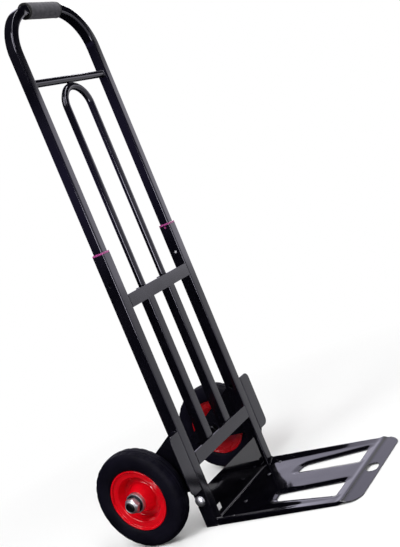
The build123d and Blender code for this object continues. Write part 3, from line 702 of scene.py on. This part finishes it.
# toe plate: one pressed sheet
toe = dict(
    sheet=2.0, top=6.0, half=148.5, front=-282.5, back=46.2, corner=35.0,
    ridgeFrom=-231.5, ridge=-243.5, ridgeRise=2.7, foot=-252.0, footDrop=-0.6, lipEnd=-4.1,
    rimFrom=126.0, rimRun=20.0, rimBack=9.0, rimFront=2.0, rimFade=(-10, 30), edgeRound=2.5, runOut=(21.0, 30.0),
    upright=123.6, wallY=52.5, wallTop=81.0, bend=3.5, bendSteps=7, edgeSoft=0.45, softAngle=55.0,
    window=((50.0, -61.5), (44.0, -217.5), (106.0, -217.5), (85.2, -74.9), (75.6, -65.3)), windowRound=4.0,
    dish=14.0, dishDrop=3.5, hole=(38.0, 24.0, -263.0), slot=(102.0, 118.0, 18.0, 32.0), soften=(2.2, 2.6),
    wave=(0.06, 9.3, 17.0), cross=(0.05, 11.7, 31.0), waveFade=(25, 30),
    lipFrom=40.0, lipBack=44.2, lipRound=2.2, join=0.00002)


def windowDistance(px, py):
    # signed distance to the window's outline with its corners rounded, inside negative
    cornerR = toe["windowRound"]
    points = [np.array(c) for c in toe["window"]]
    shrunk = []
    for k, here in enumerate(points):
        before, after = here - points[k - 1], points[(k + 1) % len(points)] - here
        before, after = before / np.linalg.norm(before), after / np.linalg.norm(after)
        inward = np.array((-before[1] - after[1], before[0] + after[0]))
        inward = inward / (1 + before @ after)
        shrunk.append(here + inward * cornerR)
    best = np.full(np.shape(px), 1e9)
    within = np.full(np.shape(px), True)
    for a, b in zip(shrunk, shrunk[1:] + shrunk[:1]):
        e = b - a
        t = np.clip(((px - a[0]) * e[0] + (py - a[1]) * e[1]) / (e @ e), 0, 1)
        best = np.minimum(best, np.hypot(px - a[0] - e[0] * t, py - a[1] - e[1] * t))
        within &= e[0] * (py - a[1]) - e[1] * (px - a[0]) > 0
    return np.where(within, -best, best) - cornerR


def toeRise(x, y):
    # height of the pressing over its flat, before its bends are softened
    ax = np.abs(x)
    ridge = np.interp(y, (toe["front"], toe["foot"], toe["ridge"], toe["ridgeFrom"]),
                      (toe["lipEnd"], toe["footDrop"], toe["ridgeRise"], 0.0))
    crest = np.interp(y, (toe["ridge"] + toe["rimFade"][0], toe["ridge"] + toe["rimFade"][1], toe["back"]),
                      (0.0, toe["rimFront"], toe["rimBack"]))
    rim = crest * np.clip((ax - toe["rimFrom"]) / toe["rimRun"], 0, 1)
    dish = toe["dishDrop"] * np.clip(1 - windowDistance(ax, y) / toe["dish"], 0, 1)
    return ridge + rim - dish


def toeHeight(x, y):
    # the rise averaged over a small patch, with the sheet's slight waviness
    x, y = np.asarray(x, float), np.asarray(y, float)
    steps = (-1.0, -0.5, 0.0, 0.5, 1.0)
    total = 0
    for dx in steps:
        for dy in steps:
            total = total + toeRise(x + dx * toe["soften"][0], y + dy * toe["soften"][1])
    size, along, bend = toe["wave"]
    wavy = size * np.sin(x / along + 0.7 * np.sin(y / bend))
    size, along, bend = toe["cross"]
    wavy = wavy + size * np.sin(y / along + x / bend)
    fadeBack, fadeFront = toe["waveFade"]
    fade = np.clip((toe["lipFrom"] - y) / fadeBack, 0, 1) * np.clip((y - toe["ridgeFrom"]) / fadeFront, 0, 1)
    return toe["top"] + total / len(steps) ** 2 + wavy * fade


def toeKeep(x, y):
    # above nought where there is metal: windows, hanging hole and front corners left out
    ax = np.abs(x)
    length, width, holeY = toe["hole"]
    hole = np.hypot(np.maximum(ax - (length - width) / 2, 0), y - holeY) - width / 2
    cx, cy = toe["half"] - toe["corner"], toe["front"] + toe["corner"]
    corner = toe["corner"] - np.hypot(np.maximum(ax - cx, 0), np.minimum(y - cy, 0))
    return np.minimum(np.minimum(windowDistance(ax, y), hole), corner)


def ruled(*runs):
    # ruled lines: (from, to, spacing) runs joined up
    out = []
    for a, b, gap in runs:
        count = max(1, round(abs(b - a) / gap))
        out += [a + (b - a) * k / count for k in range(count)]
    return out + [runs[-1][1]]


# ruled lines of the sheet, closer where it bends
edgeX = toe["half"] - toe["edgeRound"]
uprightX = toe["upright"] + 0.01  # a hair over, so that the line at the upstand's edge counts as in it
slotFrom, slotTo, slotLow, slotHigh = toe["slot"]
halfCols = ruled((0, 30, 4), (30, slotFrom, 2.4), (slotFrom, slotTo, 2.7), (slotTo, toe["upright"], 2.8),
                 (toe["upright"], 130, 2.2), (130, edgeX, 1.3))
cols = [-x for x in reversed(halfCols[1:])] + halfCols
flatRows = ruled((toe["front"] - 1.5, -257, 3), (-257, -226, 1.6), (-226, -20, 2.6), (-20, toe["lipFrom"], 3.2),
                 (toe["lipFrom"], toe["back"], 0.62))
bendY, bendZ = toe["wallY"] - toe["bend"], toe["top"] + toe["bend"]
wallRows = [(bendY + toe["bend"] * math.sin(t), bendZ - toe["bend"] * math.cos(t))
            for t in sweep(quarterTurn, toe["bendSteps"])]
wallHeights = ruled((bendZ, slotLow, 2.9), (slotLow, slotHigh, 3.5), (slotHigh, toe["wallTop"], 4.9))
wallRows += [(toe["wallY"], z) for z in wallHeights[1:]]

bm = bmesh.new()
grid, crossings = {}, {}
gx, gy = np.meshgrid(cols, flatRows)
heights, keeps = toeHeight(gx, gy), toeKeep(gx, gy)
lastFlat = len(flatRows) - 1
lipShare = (toe["lipBack"] - toe["lipFrom"]) / (toe["back"] - toe["lipFrom"])
for j, y in enumerate(flatRows):
    for i, x in enumerate(cols):
        if keeps[j, i] > 0:
            atY, lift = y, 0.0
            if abs(x) > uprightX and y > toe["lipFrom"]:  # back edge beside the upstand, turned up
                atY = toe["lipFrom"] + (y - toe["lipFrom"]) * lipShare
                turned = clamp((atY - toe["lipBack"]) / toe["lipRound"] + 1)
                lift = toe["lipRound"] * (1 - math.sqrt(1 - turned * turned))
            grid[i, j] = bm.verts.new(Vector((x, atY, heights[j, i] + lift)) * mm)
for j, (y, z) in enumerate(wallRows):
    for i, x in enumerate(cols):
        if abs(x) <= uprightX:
            grid[i, lastFlat + 1 + j] = bm.verts.new(Vector((x, y, z)) * mm)


def crossing(a, b):
    # point where a cell's edge meets the cut line
    key = (min(a, b), max(a, b))
    if key not in crossings:
        (ia, ja), (ib, jb) = key
        va, vb = keeps[ja, ia], keeps[jb, ib]
        t = va / (va - vb)
        x, y = cols[ia] + (cols[ib] - cols[ia]) * t, flatRows[ja] + (flatRows[jb] - flatRows[ja]) * t
        crossings[key] = bm.verts.new(Vector((x, y, float(toeHeight(x, y)))) * mm)
    return crossings[key]


def cellCorners(i, j):
    return [(i, j), (i + 1, j), (i + 1, j + 1), (i, j + 1)]


for j in range(lastFlat):
    for i in range(len(cols) - 1):
        corners = cellCorners(i, j)
        loop = []
        for a, b in zip(corners, corners[1:] + corners[:1]):
            if a in grid:
                loop.append(grid[a])
            if (a in grid) != (b in grid):
                loop.append(crossing(a, b))
        if len(loop) > 2:
            bm.faces.new(loop)
for j in range(lastFlat, lastFlat + len(wallRows)):
    for i in range(len(cols) - 1):
        corners = cellCorners(i, j)
        if not all(c in grid for c in corners) or max(abs(cols[i]), abs(cols[i + 1])) > uprightX:
            continue
        midX = abs(cols[i] + cols[i + 1]) / 2
        midZ = (grid[i, j].co.z + grid[i, j + 1].co.z) / 2 / mm
        if not (slotFrom < midX < slotTo and slotLow < midZ < slotHigh):
            bm.faces.new([grid[c] for c in corners])

# sides turned down to the floor, running out at the front corners
runFrom, runLength = toe["runOut"]
for i, sx in ((0, -1), (len(cols) - 1, 1)):
    strips = []
    for j in range(len(flatRows)):
        if (i, j) not in grid:
            continue
        y, top = grid[i, j].co.y / mm, grid[i, j].co.z / mm
        full = clamp((y - (toe["front"] + runFrom)) / runLength)
        full = full * full * (3 - 2 * full)
        e = max(0.05, toe["edgeRound"] * full)
        bottom = (top - e) * (1 - full)
        places = [(edgeX + e * math.sin(a), top - e * (1 - math.cos(a))) for a in sweep(quarterTurn, 4)[1:]]
        places += [(edgeX + e, (top - e) * (1 - t) + bottom * t) for t in (0.5, 1.0)]
        strips.append([grid[i, j]] + [bm.verts.new(Vector((sx * x, y, z)) * mm) for x, z in places])
    for here, there in zip(strips, strips[1:]):
        for a, b, c, d in zip(here, here[1:], there[1:], there):
            bm.faces.new((a, b, c, d))
for vert in [v for v in bm.verts if not v.link_faces]:
    bm.verts.remove(vert)
bmesh.ops.remove_doubles(bm, verts=bm.verts, dist=toe["join"])
mesh = meshFrom(bm, "toe_sheet")
if sum(f.normal.z * f.area for f in mesh.polygons) < 0:
    mesh.flip_normals()
toeSheet = newPiece("toe_sheet", mesh, "toe", "black_paint", ["toe_plate"], toePaint)
thick = toeSheet.modifiers.new("sheet", "SOLIDIFY")
thick.thickness = toe["sheet"] * mm
thick.offset = -1.0
thick.use_even_offset = True
softenEdges(toeSheet, toe["edgeSoft"] * mm, toe["softAngle"])

# ears that turn on the pivot bolts
earSet = dict(
    y=pivotSet["y"], z=pivotSet["z"], radius=12.0, steps=24, bore=5.05, boreSteps=40,
    gap=0.2, corner=4.0, cornerMid=1.2, edgeSoft=0.4)
y, z, earR = earSet["y"], earSet["z"], earSet["radius"]
earTop, rootY = toe["wallTop"], toe["wallY"] + earSet["gap"]
outline = [(rootY, z - earR)]
outline += [(y + earR * math.sin(t), z - earR * math.cos(t)) for t in sweep(halfTurn, earSet["steps"])]
outline += [(y, earTop - earSet["corner"]), (y - earSet["cornerMid"], earTop - earSet["cornerMid"]),
            (y - earSet["corner"], earTop), (rootY, earTop)]
bore = [(y + earSet["bore"] * math.sin(t), z + earSet["bore"] * math.cos(t))
        for t in sweep(fullTurn, earSet["boreSteps"], True)]
bm = bmesh.new()
for sx in signs:
    edges = []
    for loop in (outline, bore):
        ring = [bm.verts.new(Vector((sx * toe["upright"], a, b)) * mm) for a, b in loop]
        edges += [bm.edges.new((v, w)) for v, w in zip(ring, ring[1:] + ring[:1])]
    filled = bmesh.ops.triangle_fill(bm, edges=edges, use_beauty=True)
    faces = [g for g in filled["geom"] if isinstance(g, bmesh.types.BMFace)]
    grown = bmesh.ops.extrude_face_region(bm, geom=faces)
    moved = [g for g in grown["geom"] if isinstance(g, bmesh.types.BMVert)]
    bmesh.ops.translate(bm, verts=moved, vec=(-sx * toe["sheet"] * mm, 0, 0))
ears = newPiece("toe_ears", meshFrom(bm, "toe_ears"), "toe", "black_paint", (), toePaint)
softenEdges(ears, earSet["edgeSoft"] * mm, toe["softAngle"])
softCopy("toe_stiffener", "black_paint", 0.4)

# rivets with low domed heads
rivetSet = dict(
    places=(63.0, 127.0), y=17.5, headR=4.5, head=1.6, brim=0.3, domeSteps=7, shank=2.5, low=1.0, sunk=0.1)
r = rivetSet
under = toe["top"] - r["sunk"]
profile = [(r["low"], axisR), (r["low"], r["shank"]), (under, r["shank"]), (under, r["headR"])]
for t in sweep(quarterTurn, r["domeSteps"]):
    rise = r["brim"] + (r["head"] - r["brim"]) * math.sin(t)
    profile.append((toe["top"] + rise, axisR + (r["headR"] - axisR) * math.cos(t)))
bm = bmesh.new()
for x in r["places"]:
    for sx in signs:
        lathe(bm, profile, (sx * x * mm, r["y"] * mm, 0), (0, 0, 1), (1, 0, 0), steps=40)
bmesh.ops.remove_doubles(bm, verts=bm.verts, dist=tipGap)
newPiece("toe_rivets_domed", meshFrom(bm, "toe_rivets"), "toe", "zinc_steel", ["toe_rivets"], dullZinc)
print("toe plate pressed")


# camera at the photograph's viewing angle
cameraSet = dict(
    place=(-1.6221, -1.0722, 0.6669), along=(0.8442, 0.5286, -0.0883), roll=-22.5, lens=59.63, sensor=36.0)
cameraData = bpy.data.cameras.new("camera")
camera = bpy.data.objects.new("camera", cameraData)
scene.collection.objects.link(camera)
cameraData.lens = cameraSet["lens"]
cameraData.sensor_width = cameraSet["sensor"]
gaze = Vector(cameraSet["along"]).to_track_quat("-Z", "Y").to_matrix().to_4x4()
tilt = Matrix.Rotation(math.radians(cameraSet["roll"]), 4, "Z")
camera.matrix_world = Matrix.Translation(cameraSet["place"]) @ gaze @ tilt
scene.camera = camera
scene.view_settings.view_transform = "Standard"


# world: white to the camera and in reflections, softer as light
worldSet = dict(seen=1.0, ambient=0.3)


def seenStrength(tree, seen, otherwise):
    # one strength for camera, glossy and transmission rays, another for the rest
    path = tree.nodes.new("ShaderNodeLightPath")
    rays = path.outputs["Is Camera Ray"]
    for kind in ("Is Glossy Ray", "Is Transmission Ray"):
        either = addNode(tree, "ShaderNodeMath", operation="MAXIMUM")
        tree.links.new(rays, either.inputs[0])
        tree.links.new(path.outputs[kind], either.inputs[1])
        rays = either.outputs[0]
    return spread(tree, rays, otherwise, seen, 0.0, 1.0)


world = bpy.data.worlds.new("studio")
scene.world = world
world.use_nodes = True
tree = world.node_tree
sky = tree.nodes["Background"]
sky.inputs["Color"].default_value = (1, 1, 1, 1)
tree.links.new(seenStrength(tree, worldSet["seen"], worldSet["ambient"]), sky.inputs["Strength"])


# floor: white paper that takes the shadow near the truck and fades out into the background
floorSet = dict(reach=2.2, cells=24, fadeFrom=0.42, fadeTo=1.2, glow=0.07, albedo=0.72, place=(0.0, -0.02, -0.0004))
bm = bmesh.new()
bmesh.ops.create_grid(bm, x_segments=floorSet["cells"], y_segments=floorSet["cells"], size=floorSet["reach"])
mesh = meshFrom(bm, "floor", False)
floor = bpy.data.objects.new("floor", mesh)
floor.location = floorSet["place"]
scene.collection.objects.link(floor)
mat, tree, bsdf = newMaterial("floor_paper")
tree.nodes.remove(bsdf)
paper = addNode(tree, "ShaderNodeBsdfDiffuse", Color=(floorSet["albedo"],) * 3 + (1,))
glow = tree.nodes.new("ShaderNodeEmission")
tree.links.new(seenStrength(tree, floorSet["glow"], 0.0), glow.inputs["Strength"])
both = tree.nodes.new("ShaderNodeAddShader")
tree.links.new(paper.outputs[0], both.inputs[0])
tree.links.new(glow.outputs[0], both.inputs[1])
plain = tree.nodes.new("ShaderNodeEmission")
tree.links.new(seenStrength(tree, worldSet["seen"], worldSet["ambient"]), plain.inputs["Strength"])
away = addNode(tree, "ShaderNodeVectorMath", operation="LENGTH")
tree.links.new(objectCoords(tree), away.inputs[0])
fade = spread(tree, away.outputs["Value"], 0.0, 1.0, floorSet["fadeFrom"], floorSet["fadeTo"])
mixed = tree.nodes.new("ShaderNodeMixShader")
for k, socket in enumerate((fade, both.outputs[0], plain.outputs[0])):
    tree.links.new(socket, mixed.inputs[k])
tree.links.new(mixed.outputs[0], tree.nodes["Material Output"].inputs["Surface"])
mat.cycles.emission_sampling = "NONE"
mesh.materials.append(mat)


# dark studio round the white paper: shows only in gloss, with a faint violet band half way up
studioSet = dict(base=(0.004, 0.004, 0.005), reach=2.6, tint=(0.52, 0.44, 1.0),
                 glow=((0.10, 0.0), (0.40, 0.30), (0.60, 0.30), (1.0, 0.0)))
darkStudio, tree, bsdf = newMaterial("dark_studio")
setInputs(bsdf, {"Base Color": (*studioSet["base"], 1.0), "Roughness": 1.0, "Specular IOR Level": 0.0,
                 "Emission Color": (*studioSet["tint"], 1.0)})
height = tree.nodes.new("ShaderNodeSeparateXYZ")
tree.links.new(objectCoords(tree), height.inputs[0])
share = spread(tree, height.outputs["Z"], 0.0, 1.0, 0.0, studioSet["reach"])
glow = ramp(tree, share, [(place, (level,) * 3) for place, level in studioSet["glow"]])
tree.links.new(glow, bsdf.inputs["Emission Strength"])


def glossPiece(name, bm, finish):
    mesh = meshFrom(bm, name, False)
    mesh.materials.append(finish)
    piece = bpy.data.objects.new(name, mesh)
    scene.collection.objects.link(piece)
    piece.visible_camera = piece.visible_diffuse = piece.visible_shadow = piece.visible_transmission = False


def standWall(bm, radius, turns, heights):
    # upright strip along an arc, its low and high edge given for each compass degree from +X
    posts = []
    for turn in turns:
        x, y = (radius * f(math.radians(turn)) for f in (math.cos, math.sin))
        posts.append([bm.verts.new((x, y, z)) for z in heights(turn)])
    for a, b in zip(posts, posts[1:]):
        bm.faces.new((a[0], b[0], b[1], a[1]))
    return posts


# walls: (compass degree, lowest dark height) all the way round, open low where the backdrop stands
roomSet = dict(
    radius=9.0, ceiling=7.0, step=5,
    lowEdge=((-180, -0.2), (-160, 0.6), (-110, 1.2), (-70, 1.6), (-45, 2.0), (-37, 2.35), (-32, 2.75), (-10, 4.2),
             (5, 6.3), (50, 6.3), (56, 0.6), (62, -0.2), (180, -0.2)))


def wallFoot(turn):
    return float(np.interp(turn, *zip(*roomSet["lowEdge"])))


bm = bmesh.new()
turns = range(-180, 181, roomSet["step"])
posts = standWall(bm, roomSet["radius"], turns, lambda turn: (wallFoot(turn), roomSet["ceiling"]))
bm.faces.new([post[1] for post in posts])
glossPiece("dark_walls", bm, darkStudio)

# dark cloth on the floor, to the left and behind
clothSet = dict(
    height=0.0002,
    corners=((-0.1495, -0.285), (-0.1495, 0.048), (0.16, 0.048), (0.6, 0.15), (9.0, 2.4), (9.0, 9.0), (-9.0, 9.0),
             (-9.0, -0.9), (-0.6, -0.30)))
bm = bmesh.new()
bm.faces.new([bm.verts.new((x, y, clothSet["height"])) for x, y in clothSet["corners"]])
glossPiece("dark_cloth", bm, darkStudio)

# pale card under the dark wall, far behind on the right
cardSet = dict(radius=8.8, turns=(8, 57), low=-0.2, tint=(0.85, 0.82, 1.0), glow=1.22)
paleCard, tree, bsdf = newMaterial("pale_card")
setInputs(bsdf, {"Base Color": (0.0, 0.0, 0.0, 1.0), "Specular IOR Level": 0.0,
                 "Emission Color": (*cardSet["tint"], 1.0), "Emission Strength": cardSet["glow"]})
bm = bmesh.new()
standWall(bm, cardSet["radius"], range(*cardSet["turns"]), lambda turn: (cardSet["low"], wallFoot(turn)))
glossPiece("pale_card", bm, paleCard)


# lamps: place, aim and size in metres, strength in watts
def makeLamp(name, place, aim, size, watts, roll=0.0, glossOnly=False, tint=(1.0, 1.0, 1.0)):
    data = bpy.data.lights.new(name, "AREA")
    data.shape = "RECTANGLE"
    data.size, data.size_y = size
    data.energy = watts
    data.color = tint
    lamp = bpy.data.objects.new(name, data)
    turn = (Vector(aim) - Vector(place)).to_track_quat("-Z", "Y").to_matrix().to_4x4()
    lamp.matrix_world = Matrix.Translation(place) @ turn @ Matrix.Rotation(math.radians(roll), 4, "Z")
    lamp.visible_diffuse = not glossOnly
    scene.collection.objects.link(lamp)


makeLamp("left_softbox", (-1.8, 0.15, 2.3), (0, 0, 0.4), (1.6, 1.6), 62)
makeLamp("strip_softbox", (0.0, -1.0, 2.7), (0, 0, 0.6), (2.2, 0.4), 28, roll=30)
makeLamp("front_softbox", (-1.1, -1.9, 2.2), (0, 0, 0.4), (1.0, 1.2), 16)
makeLamp("right_softbox", (1.9, 0.25, 1.9), (0, 0, 0.3), (0.8, 0.6), 12)
makeLamp("back_softbox", (0.94, 2.48, 2.51), (-0.14, 0.06, 1.1), (1.3, 0.8), 14)
makeLamp("low_strip", (-2.47, -0.33, 0.48), (0, 0.06, 0.48), (0.9, 0.65), 26, glossOnly=True)
makeLamp("far_card", (7.13, -4.63, 1.10), (0, 0, 1.10), (4.5, 2.4), 45, tint=(0.94, 0.91, 1.0))
print("stage set")
